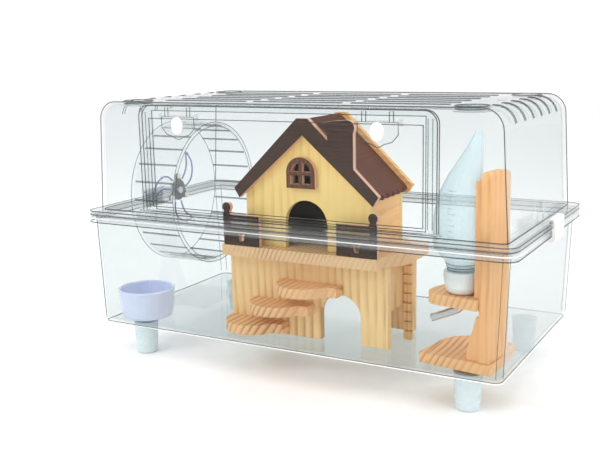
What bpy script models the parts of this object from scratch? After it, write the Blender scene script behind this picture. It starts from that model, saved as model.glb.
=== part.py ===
"""A clear, stackable hamster cage, ready furnished: tub, lid, door, wheel, wooden house, water bottle, bowl.

Metres, +Z up. X runs along the long side, the door faces -Y, and the origin is on the surface that the cage
stands on, below its middle. Heights in the constants count from the tub's underside; up() adds the feet.
"""

import math

import bmesh
import bpy
from mathutils import Matrix, Vector

# ---- driving dimensions ----
GAP = 0.0003  # between pieces that touch
FOOT_HEIGHT = 0.036
RIM = (0.2385, 0.1240)  # half length and half width of both rims
WALL = 0.0024
TUB_TOP = 0.1220
LID_TOP = 0.2425

LID_FOOT = (0.2268, 0.1090)  # half sizes of the lid's walls at their foot
LID_HEAD = 0.2215  # half length of the lid where its ends begin to round over
LID_END_RADIUS = 0.020
LID_FRONT = -LID_FOOT[1]
LID_FLANGE_TOP = 0.1258
ROOF_ROWS = [0.0285 * (i - 2.5) for i in range(6)]
ROOF_SLOT = 0.0036
STACK_SPOT = (0.1860, 0.0870)
STACK_RADIUS = 0.0155

FOOT_SPOT = (0.1880, 0.0930)
FOOT_TOP_RADIUS = 0.0135
FOOT_BOTTOM_RADIUS = 0.0115

DOOR_HALF = 0.1630
DOOR_BOTTOM = 0.1290
DOOR_TOP = 0.2400
DOOR_BACK = LID_FRONT - GAP
DOOR_SHEET = 0.0025
DOOR_FRAME = 0.0027
DOOR_POST = 0.0130
DOOR_AXIS = (-0.1150, 0.1300)  # y and height
PIN_RADIUS = 0.0010
PIN_BORE = 0.0013

LATCH_X = 0.1100
LATCH_AXIS = (-0.1180, 0.2295)
LATCH_HALF = 0.0200
LATCH_DROP = 0.0225

CLIP_AXIS = (0.2410, 0.1295)  # x and height
CLIP_HALF = 0.0170

WHEEL_AXIS = (-0.0080, 0.1340)  # y and height
WHEEL_RADIUS = 0.0805
WHEEL_LEFT, WHEEL_RIGHT = -0.2030, -0.1460
HUB_SCREW_CIRCLE = 0.0160

HOUSE_X = 0.0147
HOUSE_FRONT, HOUSE_BACK = -0.0790, -0.0060
BOARD = 0.0080
THIN_BOARD = 0.0060
BASE_HALF = 0.0905
BASE_X = 0.0105
PLATFORM = (0.0852, 0.0965)  # underside and top
UPPER_HALF = 0.0705
ROOF_PITCH = math.radians(44)
ROOF_APEX = 0.2340
ROOF_HALF = 0.0812
ROOF_THICKNESS = 0.0050
ROOF_INSET = 0.0048  # how far the panels lie below the gable boards' top edges
GABLE_WIDTH = 0.0224  # measured straight down

STAND = (0.1810, -0.0740)
STAND_TURN = math.radians(-8)
STAND_BASE = 0.0100
POST = (0.0235, 0.0335)  # x of the post's faces, from the stand's own origin
SHELF = (0.0620, 0.0720)
BOTTLE = (-0.0007, -0.0124)  # its axis, from the stand's own origin
CAP_RADIUS = 0.0168

BOWL = (-0.1920, -0.0842)
FLOOR = 0.0030  # the tub's inner floor

# ---- colours: r, g, b, roughness, metallic ----
CLEAR = (0.86, 0.90, 0.91, 0.05, 0)
WHITE = (0.93, 0.94, 0.95, 0.35, 0)
PALE_BLUE = (0.80, 0.86, 0.90, 0.30, 0)
CERAMIC = (0.84, 0.85, 0.94, 0.15, 0)
PINE = (0.86, 0.66, 0.40, 0.55, 0)
PALE_PINE = (0.90, 0.80, 0.52, 0.55, 0)
DARK_BOARD = (0.15, 0.08, 0.06, 0.50, 0)
GREY = (0.42, 0.43, 0.46, 0.40, 0)
STEEL = (0.70, 0.70, 0.72, 0.25, 1)

X_AXIS, Y_AXIS, Z_AXIS = Vector((1, 0, 0)), Vector((0, 1, 0)), Vector((0, 0, 1))
FACE_FRONT = Matrix.Rotation(math.pi / 2, 4, "X")  # an outline's (x, y) becomes (x, z)
FACE_SIDE = Matrix.Rotation(math.pi / 2, 4, "Z") @ FACE_FRONT  # an outline's (x, y) becomes (y, z)


def up(height):
    """The world height of a point that is this high above the tub's underside."""
    return FOOT_HEIGHT + height


# ---- scene and materials ----
for old in list(bpy.data.objects):
    bpy.data.objects.remove(old, do_unlink=True)

cage = bpy.data.collections.new("hamster_cage")
cutters = bpy.data.collections.new("cutters")
bpy.context.scene.collection.children.link(cage)
bpy.context.scene.collection.children.link(cutters)


def material(colour):
    name = "m_" + "_".join(f"{round(100 * c):02d}" for c in colour)
    found = bpy.data.materials.get(name)
    if found:
        return found
    made = bpy.data.materials.new(name)
    made.use_nodes = True
    shader = made.node_tree.nodes["Principled BSDF"]
    shader.inputs["Base Color"].default_value = (*colour[:3], 1)
    shader.inputs["Roughness"].default_value = colour[3]
    shader.inputs["Metallic"].default_value = colour[4]
    made.diffuse_color = (*colour[:3], 1)
    return made


# ---- shapes ----
def keep(name, mesh, colour, matrix=None):
    """Makes a mesh into a named part."""
    part = bpy.data.objects.new(name, mesh)
    part.matrix_world = matrix or Matrix.Identity(4)
    mesh.materials.clear()
    mesh.materials.append(material(colour))
    cage.objects.link(part)
    return part


def cutter(mesh, matrix=None):
    tool = bpy.data.objects.new("cutter", mesh)
    tool.matrix_world = matrix or Matrix.Identity(4)
    tool.hide_render = True
    tool.display_type = "WIRE"
    cutters.objects.link(tool)
    return tool


def boolean(part, tool, operation="DIFFERENCE"):
    step = part.modifiers.new(operation.lower(), "BOOLEAN")
    step.operation = operation
    step.solver = "EXACT"
    step.object = tool
    return part


def finish_mesh(bm):
    mesh = bpy.data.meshes.new("shape")
    bmesh.ops.recalc_face_normals(bm, faces=bm.faces)
    bm.to_mesh(mesh)
    bm.free()
    return mesh


def block_mesh(*boxes):
    """One mesh of separate boxes, each given as its lowest and its highest corner."""
    bm = bmesh.new()
    for low, high in boxes:
        low, high = Vector(low), Vector(high)
        scale = Matrix.Diagonal((*(high - low), 1))
        bmesh.ops.create_cube(bm, size=1, matrix=Matrix.Translation((low + high) / 2) @ scale)
    return finish_mesh(bm)


def rod_mesh(start, end, radius, end_radius=None, segments=24):
    """A cylinder or a cone between two points."""
    start, end = Vector(start), Vector(end)
    bm = bmesh.new()
    turn = (end - start).to_track_quat("Z", "Y").to_matrix().to_4x4()
    bmesh.ops.create_cone(
        bm,
        cap_ends=True,
        segments=segments,
        radius1=radius,
        radius2=radius if end_radius is None else end_radius,
        depth=(end - start).length,
        matrix=Matrix.Translation((start + end) / 2) @ turn,
    )
    return finish_mesh(bm)


def smooth(part, angle=35):
    part.data.shade_smooth()
    part.data.set_sharp_from_angle(angle=math.radians(angle))
    return part


def rod(name, start, end, radius, colour, end_radius=None, segments=24):
    return smooth(keep(name, rod_mesh(start, end, radius, end_radius, segments), colour))


def turned(name, profile, matrix, colour, steps=40):
    """A part turned about its own Z axis, from (radius, height) points down its outside and up its inside."""
    mesh = bpy.data.meshes.new("profile")
    closed = len(profile)
    corners = [(radius, 0, height) for radius, height in profile]
    mesh.from_pydata(corners, [(i, (i + 1) % closed) for i in range(closed)], [])
    part = keep(name, mesh, colour, matrix)
    screw = part.modifiers.new("turn", "SCREW")
    screw.steps = screw.render_steps = steps
    screw.use_merge_vertices = True
    screw.merge_threshold = 0.00001
    return smooth(baked(part))


def baked(part):
    """Applies a part's modifiers, so that it can be cut or joined."""
    bpy.context.view_layer.update()
    seen = part.evaluated_get(bpy.context.evaluated_depsgraph_get())
    mesh = bpy.data.meshes.new_from_object(seen)
    part.modifiers.clear()
    bm = bmesh.new()
    bm.from_mesh(mesh)
    bmesh.ops.remove_doubles(bm, verts=bm.verts, dist=0.000001)
    bmesh.ops.recalc_face_normals(bm, faces=bm.faces)
    bm.to_mesh(mesh)
    bm.free()
    mesh.materials.clear()
    mesh.materials.append(part.data.materials[0])
    part.data = mesh
    return part


def arc(centre, radius, start, end, steps=8, radius_y=None):
    """Points along an arc or a quarter of an ellipse, in degrees."""
    radius_y = radius if radius_y is None else radius_y
    turns = [math.radians(start + (end - start) * i / steps) for i in range(steps + 1)]
    return [(centre[0] + radius * math.cos(a), centre[1] + radius_y * math.sin(a)) for a in turns]


def plate_mesh(outlines, thickness, matrix):
    """A flat board from outlines in its own plane: the first is its edge, and the others are holes."""
    curve = bpy.data.curves.new("outline", "CURVE")
    curve.dimensions = "2D"
    curve.fill_mode = "BOTH"
    curve.extrude = thickness / 2
    for outline in outlines:
        spline = curve.splines.new("POLY")
        spline.points.add(len(outline) - 1)
        for point, (x, y) in zip(spline.points, outline):
            point.co = (x, y, 0, 1)
        spline.use_cyclic_u = True
    drawn = bpy.data.objects.new("outline", curve)
    drawn.matrix_world = matrix
    cage.objects.link(drawn)
    bpy.context.view_layer.update()
    mesh = bpy.data.meshes.new_from_object(drawn.evaluated_get(bpy.context.evaluated_depsgraph_get()))
    bpy.data.objects.remove(drawn, do_unlink=True)
    bm = bmesh.new()
    bm.from_mesh(mesh)
    bmesh.ops.remove_doubles(bm, verts=bm.verts, dist=0.000001)
    bmesh.ops.transform(bm, matrix=matrix, verts=bm.verts)
    bmesh.ops.recalc_face_normals(bm, faces=bm.faces)
    bm.to_mesh(mesh)
    bm.free()
    return mesh


def front_board(name, outlines, y_low, y_high, colour):
    """A board that faces -Y, from outlines of (x, world height)."""
    at = Matrix.Translation((0, (y_low + y_high) / 2, 0)) @ FACE_FRONT
    return keep(name, plate_mesh(outlines, y_high - y_low, at), colour)


def side_board(name, outlines, x_low, x_high, colour):
    """A board that faces along X, from outlines of (y, world height)."""
    at = Matrix.Translation(((x_low + x_high) / 2, 0, 0)) @ FACE_SIDE
    return keep(name, plate_mesh(outlines, x_high - x_low, at), colour)


def flat_board(name, outlines, z_low, z_high, colour):
    """A level board, from outlines of (x, y)."""
    at = Matrix.Translation((0, 0, (z_low + z_high) / 2))
    return keep(name, plate_mesh(outlines, z_high - z_low, at), colour)


def rectangle(low, high):
    return [low, (high[0], low[1]), high, (low[0], high[1])]


def rounded_ring(half_x, half_y, radius, height, steps=5):
    """A level rounded rectangle of points."""
    points = []
    for turn, (sx, sy) in enumerate(((1, 1), (-1, 1), (-1, -1), (1, -1))):
        centre = (sx * (half_x - radius), sy * (half_y - radius))
        points += [(x, y, height) for x, y in arc(centre, radius, 90 * turn, 90 * turn + 90, steps)]
    return points


def lofted(rings):
    """A closed skin through rings of the same number of points, capped at both ends."""
    bm = bmesh.new()
    rows = [[bm.verts.new(point) for point in ring] for ring in rings]
    for lower, upper in zip(rows, rows[1:]):
        for i in range(len(lower)):
            after = (i + 1) % len(lower)
            bm.faces.new((lower[i], lower[after], upper[after], upper[i]))
    bm.faces.new(rows[0][::-1])
    bm.faces.new(rows[-1])
    return finish_mesh(bm)


# ---- the tub and its feet ----
def tub():
    low, high = (0.2275, 0.1190), (0.2320, 0.1195)  # half sizes of the wall at its foot and under the rim
    fillet, corner = 0.0060, 0.0085
    skirt, skirt_drop = 0.0020, 0.0085
    rings = []
    for angle in (90, 67, 45, 22, 0):
        inset = fillet * (1 - math.cos(math.radians(angle)))
        drop = fillet * (1 - math.sin(math.radians(angle)))
        rings.append(rounded_ring(low[0] - inset, low[1] - inset, corner - inset * 0.7, up(drop)))
    under = TUB_TOP - 0.0025
    rings.append(rounded_ring(high[0], high[1], corner, up(under)))
    inner_skirt = (RIM[0] - skirt, RIM[1] - skirt)
    rings.append(rounded_ring(*inner_skirt, corner + 0.0025, up(under)))
    rings.append(rounded_ring(*inner_skirt, corner + 0.0025, up(TUB_TOP - skirt_drop)))
    rings.append(rounded_ring(*RIM, corner + 0.0045, up(TUB_TOP - skirt_drop)))
    rings.append(rounded_ring(RIM[0], RIM[1], corner + 0.0045, up(TUB_TOP - 0.0008)))
    rings.append(rounded_ring(RIM[0] - 0.0008, RIM[1] - 0.0008, corner + 0.0040, up(TUB_TOP)))
    rings.append(rounded_ring(high[0] - WALL, high[1] - WALL, corner - WALL, up(TUB_TOP)))
    inner_fillet = fillet - WALL
    inner_low = (low[0] - WALL, low[1] - WALL)
    for angle in (0, 30, 60, 90):
        inset = inner_fillet * (1 - math.cos(math.radians(angle)))
        rise = FLOOR + inner_fillet * (1 - math.sin(math.radians(angle)))
        rings.append(
            rounded_ring(inner_low[0] - inset, inner_low[1] - inset, corner - WALL - inset * 0.7, up(rise))
        )
    smooth(keep("tub", lofted(rings), CLEAR))


def feet():
    for side, sx in (("left", -1), ("right", 1)):
        for end, sy in (("front", -1), ("back", 1)):
            x, y = sx * FOOT_SPOT[0], sy * FOOT_SPOT[1]
            profile = [
                (0, FOOT_HEIGHT - GAP),
                (FOOT_TOP_RADIUS, FOOT_HEIGHT - GAP),
                (FOOT_BOTTOM_RADIUS, 0.0012),
                (FOOT_BOTTOM_RADIUS - 0.0012, 0),
                (0, 0),
            ]
            turned(f"foot_{end}_{side}", profile, Matrix.Translation((x, y, 0)), PALE_BLUE, 32)


# ---- the lid ----
def lid_ring(half_x, half_y, radius, height):
    return rounded_ring(half_x, half_y, radius, height, steps=3)


def lid_dome(offset):
    """Rings up one skin of the lid, outer at offset 0: straight ends that lean in, then round over."""
    radius = LID_END_RADIUS - offset
    top = LID_TOP - offset
    edge = 0.0030
    rings = []
    for angle in range(0, 91, 15):
        a = math.radians(angle)
        height = top - radius + radius * math.sin(a)
        over = max(0.0, height - (top - edge))
        front_inset = edge - math.sqrt(max(0.0, edge * edge - over * over))
        half_x = LID_HEAD - offset - radius * (1 - math.cos(a))
        half_y = LID_FOOT[1] - offset - front_inset
        rings.append(lid_ring(half_x, half_y, 0.0060 - offset * 0.8, up(height)))
    return rings


def lid_shell_mesh():
    low = TUB_TOP + GAP
    inner_foot = (LID_FOOT[0] - WALL, LID_FOOT[1] - WALL)
    rings = lid_dome(WALL)[::-1]
    rings.append(lid_ring(*inner_foot, 0.0040, up(low)))
    rings.append(lid_ring(*RIM, 0.0130, up(low)))
    rings.append(lid_ring(RIM[0], RIM[1], 0.0130, up(LID_FLANGE_TOP - 0.0008)))
    rings.append(lid_ring(RIM[0] - 0.0008, RIM[1] - 0.0008, 0.0125, up(LID_FLANGE_TOP)))
    rings.append(lid_ring(*LID_FOOT, 0.0060, up(LID_FLANGE_TOP)))
    return lofted(rings + lid_dome(0.0))


def roof_slots():
    """The cutters for the vents: three rows of sections on the roof, and one round each end."""
    boxes = []
    for y in ROOF_ROWS:
        low, high = y - ROOF_SLOT / 2, y + ROOF_SLOT / 2
        for x0, x1 in ((-0.160, -0.060), (-0.050, 0.050), (0.060, 0.160)):
            boxes.append(((x0, low, up(LID_TOP - 0.0045)), (x1, high, up(LID_TOP + 0.004))))
        for side in (-1, 1):
            x0, x1 = sorted((side * 0.1990, side * 0.2400))
            boxes.append(((x0, low, up(LID_TOP - 0.0170)), (x1, high, up(LID_TOP + 0.004))))
    return cutter(block_mesh(*boxes))


def lid():
    part = keep("lid", lid_shell_mesh(), CLEAR)
    for sx in (-1, 1):
        for sy in (-1, 1):
            x, y = sx * STACK_SPOT[0], sy * STACK_SPOT[1]
            cup = rod_mesh((x, y, up(LID_TOP - 0.0048)), (x, y, up(LID_TOP + 0.0006)), STACK_RADIUS + 0.0018)
            boolean(part, cutter(cup), "UNION")
            well = rod_mesh((x, y, up(LID_TOP - 0.0028)), (x, y, up(LID_TOP + 0.004)), STACK_RADIUS)
            boolean(part, cutter(well))
    nubs = [
        ((x - 0.0040, -0.0030, up(LID_TOP - 0.0010)), (x + 0.0040, 0.0030, up(LID_TOP + 0.0008)))
        for x in (-STACK_SPOT[0], STACK_SPOT[0])
    ]
    boolean(part, cutter(block_mesh(*nubs)), "UNION")
    door_hole = ((-0.1515, LID_FRONT - 0.01, up(0.1310)), (0.1515, LID_FRONT + 0.01, up(0.2345)))
    boolean(part, cutter(block_mesh(door_hole)))
    y, height = DOOR_AXIS
    ears, bores = [], []
    for sx in (-1, 1):
        x0, x1 = sorted((sx * 0.1646, sx * 0.1690))
        ears.append(((x0, y - 0.0026, up(LID_FLANGE_TOP - 0.0010)), (x1, y + 0.0062, up(height + 0.0026))))
        for sy in (-1, 1):
            y0, y1 = sorted((sy * (CLIP_HALF + GAP), sy * (CLIP_HALF + 0.0035)))
            x0, x1 = sorted((sx * 0.2290, sx * (CLIP_AXIS[0] + 0.0025)))
            ears.append(((x0, y0, up(LID_FLANGE_TOP - 0.0010)), (x1, y1, up(CLIP_AXIS[1] + 0.0024))))
        slot_x = sorted((sx * 0.2235, sx * 0.2290))
        ears.append(((slot_x[0], -0.0030, up(LID_FLANGE_TOP - 0.001)), (slot_x[1], 0.0030, up(0.1480))))
        start, end = (sx * 0.1600, y, up(height)), (sx * 0.1760, y, up(height))
        bores.append(rod_mesh(start, end, PIN_BORE, segments=12))
        clip = (sx * CLIP_AXIS[0], up(CLIP_AXIS[1]))
        bores.append(rod_mesh((clip[0], -0.0250, clip[1]), (clip[0], 0.0250, clip[1]), 0.0014, segments=12))
    boolean(part, cutter(block_mesh(*ears)), "UNION")
    for bore in bores:
        boolean(part, cutter(bore))
    boolean(part, roof_slots())
    smooth(baked(part))


# ---- the door, its pins and its latches ----
def door():
    sheet_front = DOOR_BACK - DOOR_SHEET
    frame_front = sheet_front - DOOR_FRAME
    radius = 0.0120
    outline = [(-DOOR_HALF, up(DOOR_BOTTOM)), (DOOR_HALF, up(DOOR_BOTTOM))]
    outline += arc((DOOR_HALF - radius, up(DOOR_TOP) - radius), radius, 0, 90, 6)
    outline += arc((-DOOR_HALF + radius, up(DOOR_TOP) - radius), radius, 90, 180, 6)
    inside = rectangle((-DOOR_HALF + DOOR_POST, up(0.1350)), (DOOR_HALF - DOOR_POST, up(0.2270)))
    part = front_board("door", [outline], sheet_front, DOOR_BACK, CLEAR)
    at = Matrix.Translation((0, (frame_front + sheet_front + 0.0010) / 2, 0)) @ FACE_FRONT
    boolean(part, cutter(plate_mesh([outline, inside], DOOR_FRAME + 0.0010, at)), "UNION")
    y, height = DOOR_AXIS
    for sx in (-1, 1):
        knuckle = rod_mesh((sx * 0.1500, y, up(height)), (sx * 0.1642, y, up(height)), 0.0026, segments=16)
        boolean(part, cutter(knuckle), "UNION")
        bore = rod_mesh((sx * 0.1510, y, up(height)), (sx * 0.1700, y, up(height)), PIN_BORE, segments=12)
        boolean(part, cutter(bore))
    latch_y, latch_z = LATCH_AXIS
    ears = []
    for sx in (-1, 1):
        for side in (-1, 1):
            x0, x1 = sorted((sx * LATCH_X + side * 0.0206, sx * LATCH_X + side * 0.0240))
            low, high = up(latch_z - 0.0030), up(latch_z + 0.0030)
            ears.append(((x0, latch_y - 0.0026, low), (x1, frame_front + 0.0010, high)))
    boolean(part, cutter(block_mesh(*ears)), "UNION")
    for sx in (-1, 1):
        start = (sx * LATCH_X - 0.030, latch_y, up(latch_z))
        end = (sx * LATCH_X + 0.030, latch_y, up(latch_z))
        boolean(part, cutter(rod_mesh(start, end, 0.0017, segments=12)))
    smooth(baked(part))
    for side, sx in (("left", -1), ("right", 1)):
        start, end = (sx * 0.1515, y, up(height)), (sx * 0.1690, y, up(height))
        rod(f"door_hinge_pin_{side}", start, end, PIN_RADIUS, STEEL, segments=12)


def latches():
    y, height = LATCH_AXIS
    for side, sx in (("left", -1), ("right", 1)):
        x = sx * LATCH_X
        half = LATCH_HALF
        shield = [(x - half, up(height)), (x - half, up(height - 0.0110))]
        shield += [(x - half * 0.72, up(height - 0.0175))]
        shield += arc((x, up(height - LATCH_DROP + 0.0080)), 0.0080, 225, 315, 5)
        shield += [(x + half * 0.72, up(height - 0.0175)), (x + half, up(height - 0.0110))]
        shield += [(x + half, up(height))]
        flap = front_board(f"latch_flap_{side}", [shield], y - 0.0025, y, CLEAR)
        arms = []
        for arm in (-1, 1):
            x0 = x + arm * 0.0135
            left, right = x0 - 0.0020, x0 + 0.0020
            arms.append(((left, y - 0.0025, up(height - 0.0030)), (right, y + 0.0010, up(0.2390))))
            arms.append(((left, y - 0.0010, up(0.2365)), (right, y + 0.0030, up(0.2389))))
        boolean(flap, cutter(block_mesh(*arms)), "UNION")
        start, end = (x - 0.0238, y, up(height)), (x + 0.0238, y, up(height))
        boolean(flap, cutter(rod_mesh(start, end, 0.0014, segments=12)), "UNION")
        smooth(baked(flap))
        button = arc((x, up(height - 0.0085)), 0.0066, 0, 345, 23, radius_y=0.0086)
        front_board(f"latch_button_{side}", [button], y - 0.0048, y - 0.0028, WHITE)


# ---- the side clips ----
def side_clips():
    x, height = CLIP_AXIS
    for side, sx in (("left", -1), ("right", 1)):
        section = [(x - 0.0022, up(height)), (x - 0.0022, up(height + 0.0034))]
        section += arc((x + 0.0020, up(height + 0.0014)), 0.0020, 90, 0, 4)
        section += [(x + 0.0040, up(0.1130)), (x + 0.0030, up(0.1110)), (x - 0.0020, up(0.1110))]
        section += [(x - 0.0020, up(0.1130)), (x + 0.0012, up(0.1165)), (x + 0.0012, up(height - 0.0026))]
        section += [(x - 0.0022, up(height - 0.0020))]
        outline = [(sx * a, b) for a, b in section]
        if sx < 0:
            outline.reverse()
        bore = arc((sx * x, up(height)), 0.0014, 0, 330, 11)
        front_board(f"side_clip_{side}", [outline, bore], -CLIP_HALF, CLIP_HALF, WHITE)
        start, end = (sx * x, -CLIP_HALF - 0.0035, up(height)), (sx * x, CLIP_HALF + 0.0035, up(height))
        rod(f"clip_pin_{side}", start, end, PIN_RADIUS, STEEL, segments=12)


# ---- the running wheel ----
def wheel():
    y, height = WHEEL_AXIS
    at = Matrix.Translation((0, y, up(height))) @ Matrix.Rotation(math.pi / 2, 4, "Y")
    boss_end, bore = WHEEL_LEFT - 0.0062, 0.0058
    profile = [
        (0.0085, boss_end),
        (bore, boss_end),
        (bore, WHEEL_LEFT + 0.0025),
        (WHEEL_RADIUS - 0.0024, WHEEL_LEFT + 0.0025),
        (WHEEL_RADIUS - 0.0024, WHEEL_RIGHT - 0.0030),
        (WHEEL_RADIUS - 0.0050, WHEEL_RIGHT - 0.0030),
        (WHEEL_RADIUS - 0.0050, WHEEL_RIGHT),
        (WHEEL_RADIUS, WHEEL_RIGHT),
        (WHEEL_RADIUS, WHEEL_LEFT),
        (0.0085, WHEEL_LEFT),
    ]
    turned("wheel_drum", profile, at, CLEAR, 60)
    hub_low, hub_high = WHEEL_LEFT + 0.0028, WHEEL_LEFT + 0.0048
    outline = []
    for lobe in range(3):
        turn = 90 + 120 * lobe
        out = math.radians(turn)
        middle = (y + HUB_SCREW_CIRCLE * math.cos(out), up(height) + HUB_SCREW_CIRCLE * math.sin(out))
        outline += arc(middle, 0.0034, turn - 85, turn + 85, 6)
        outline += arc((y, up(height)), 0.0122, turn + 22, turn + 98, 6)
    holes = [arc((y, up(height)), 0.0030, 0, 330, 11)]
    for lobe in range(3):
        turn = math.radians(90 + 120 * lobe)
        centre = (y + HUB_SCREW_CIRCLE * math.cos(turn), up(height) + HUB_SCREW_CIRCLE * math.sin(turn))
        holes.append(arc(centre, 0.0018, 0, 315, 7))
        shank_start = (hub_low + GAP, centre[0], centre[1])
        head_start = (hub_high + GAP, centre[0], centre[1])
        screw = rod(
            f"hub_screw_{lobe + 1}", head_start, (head_start[0] + 0.0018, *centre), 0.0034, WHITE, 0.0026, 12
        )
        shank = rod_mesh(shank_start, (head_start[0] + 0.0010, *centre), 0.0013, segments=8)
        boolean(screw, cutter(shank), "UNION")
    side_board("wheel_hub_plate", [outline] + holes, hub_low, hub_high, GREY)
    bearing = [(0.0055, 0.0056), (0.0055, 0), (0.0028, 0), (0.0028, 0.0056)]
    start = Matrix.Translation((boss_end + 0.0003, y, up(height))) @ Matrix.Rotation(math.pi / 2, 4, "Y")
    turned("wheel_bearing", bearing, start, STEEL, 24)
    start, end = (-0.2185, y, up(height)), (hub_high + 0.0006, y, up(height))
    axle = rod("wheel_axle", start, end, 0.0024, STEEL, segments=16)
    head = rod_mesh((hub_high + GAP, y, up(height)), (hub_high + 0.0030, y, up(height)), 0.0048, 0.0040, 16)
    boolean(axle, cutter(head), "UNION")


def wheel_stand():
    y, height = WHEEL_AXIS
    low, high = -0.2185, -0.2155
    outline = [(y - 0.0300, up(0.0066)), (y + 0.0300, up(0.0066)), (y + 0.0130, up(0.0500))]
    outline += arc((y, up(height)), 0.0120, 0, 180, 8)
    outline += [(y - 0.0130, up(0.0500))]
    bore = arc((y, up(height)), 0.0027, 0, 330, 11)
    plate = side_board("wheel_stand_plate", [outline, bore], low, high, CLEAR)
    spacer = plate_mesh(
        [arc((y, up(height)), 0.0070, 0, 345, 23), bore],
        0.0052,
        Matrix.Translation((high + 0.0021, 0, 0)) @ FACE_SIDE,
    )
    boolean(plate, cutter(spacer), "UNION")
    smooth(baked(plate))
    foot = [(-0.2135, y - 0.0300), (-0.1450, y - 0.0300), (-0.1450, y + 0.0500), (-0.2135, y + 0.0500)]
    part = flat_board("wheel_stand_base", [foot], up(FLOOR + GAP), up(FLOOR + GAP + 0.0030), CLEAR)
    tongue = ((-0.2185, y - 0.0200, up(FLOOR + 0.0030)), (-0.2120, y + 0.0200, up(0.0063)))
    boolean(part, cutter(block_mesh(tongue)), "UNION")
    smooth(baked(part))


# ---- the house: lower storey ----
def arch(middle, half, floor, top):
    """An arched opening's outline, round at the top."""
    spring = top - half
    return [(middle - half, floor), (middle + half, floor)] + arc((middle, spring), half, 0, 180, 12)


def notched(outline_bottom, middle, half, floor, top):
    """A board's lower edge with an arch cut up into it, from left to right."""
    (left, low), (right, _) = outline_bottom
    spring = top - half
    doorway = arc((middle, spring), half, 180, 0, 12)
    return [(left, low), (middle - half, low)] + doorway + [(middle + half, low), (right, low)]


def house_base():
    left, right = BASE_X - BASE_HALF, BASE_X + BASE_HALF
    low, high = up(FLOOR + GAP), up(PLATFORM[0] - GAP)
    edge = notched([(left, low), (right, low)], 0.0493, 0.0228, low, up(0.0530))
    front = edge + [(right, high), (left, high)]
    front_board("house_front_wall", [front], HOUSE_FRONT, HOUSE_FRONT + BOARD, PINE)
    back = notched([(left, low), (right, low)], BASE_X, 0.0450, low, up(0.0620))
    back += [(right, high), (left, high)]
    front_board("house_back_wall", [back], HOUSE_BACK - BOARD, HOUSE_BACK, PINE)
    y0, y1 = HOUSE_FRONT + BOARD + GAP, HOUSE_BACK - BOARD - GAP
    side = rectangle((y0, up(0.0400)), (y1, high))
    side_board("house_left_wall", [side], left, left + BOARD, PINE)
    side_board("house_right_wall", [side], right - BOARD, right, PINE)


def platform():
    """The balcony board, whose sides swell out behind its front corners."""
    back, front = -0.0020, -0.0944
    sides = []
    for narrow, wide in ((-0.0800, -0.0880), (0.0960, 0.1130)):
        side = [(narrow, front)]
        for i in range(9):
            t = i / 8
            side.append((narrow + (wide - narrow) * t * t * (3 - 2 * t), front + 0.0060 + 0.0360 * t))
        sides.append(side + [(wide, back)])
    flat_board("house_platform", [sides[1] + sides[0][::-1]], up(PLATFORM[0]), up(PLATFORM[1]), PINE)


def steps():
    rise = 0.0227
    for i, x in enumerate((-0.0510, -0.0205, 0.0120)):
        wall = HOUSE_FRONT - GAP
        top = 0.0175 + rise * i
        outline = [(x - 0.0310, wall)]
        outline += arc((x, wall), 0.0310, 180, 318, 14, radius_y=0.0325)
        outline += [(x + 0.0300, wall - 0.0140), (x + 0.0400, wall - 0.0140), (x + 0.0400, wall)]
        flat_board(f"house_step_{i + 1}", [outline], up(top - 0.0100), up(top), PINE)


def ladder():
    x0, x1 = BASE_X + BASE_HALF + 0.0006, BASE_X + BASE_HALF + 0.0092
    y0, y1 = -0.0420, -0.0370
    low, high = FLOOR + GAP, PLATFORM[0] - 0.0006
    part = keep("house_ladder", block_mesh(((x0, y0, up(low)), (x1, y1, up(high)))), PINE)
    grooves = []
    for i in range(8):
        z = low + 0.0085 + 0.0098 * i
        grooves.append(((x0 - 0.01, y0 - 0.002, up(z)), (x1 + 0.01, y0 + 0.0022, up(z + 0.0022))))
    boolean(part, cutter(block_mesh(*grooves)))
    baked(part)


# ---- the house: upper storey ----
def roof_line(distance, below=0.0):
    """The height of the roof's top plane at this distance from the ridge, less a straight drop."""
    return ROOF_APEX - distance * math.tan(ROOF_PITCH) - below


def house_top_walls():
    half = UPPER_HALF
    low = up(PLATFORM[1] + GAP)
    drop = (ROOF_INSET + ROOF_THICKNESS) / math.cos(ROOF_PITCH) + 0.0005
    eave, apex = up(roof_line(half, drop)), up(roof_line(0, drop))
    head = [(HOUSE_X + half, eave), (HOUSE_X, apex), (HOUSE_X - half, eave)]
    doorway = notched([(HOUSE_X - half, low), (HOUSE_X + half, low)], 0.0137, 0.0240, low, up(0.1465))
    pane = arch(0.0110, 0.0125, up(0.1625), up(0.1870))
    y0 = HOUSE_FRONT - 0.0030
    front_board("upper_front_wall", [doorway + head, pane], y0, y0 + THIN_BOARD, PALE_PINE)
    plain = [(HOUSE_X - half, low), (HOUSE_X + half, low)] + head
    front_board("upper_back_wall", [plain], HOUSE_BACK - THIN_BOARD, HOUSE_BACK, PALE_PINE)
    wall = rectangle((y0 + THIN_BOARD + GAP, low), (HOUSE_BACK - THIN_BOARD - GAP, eave - GAP))
    side_board("upper_left_wall", [wall], HOUSE_X - half, HOUSE_X - half + THIN_BOARD, PINE)
    side_board("upper_right_wall", [wall], HOUSE_X + half - THIN_BOARD, HOUSE_X + half, PINE)


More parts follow.
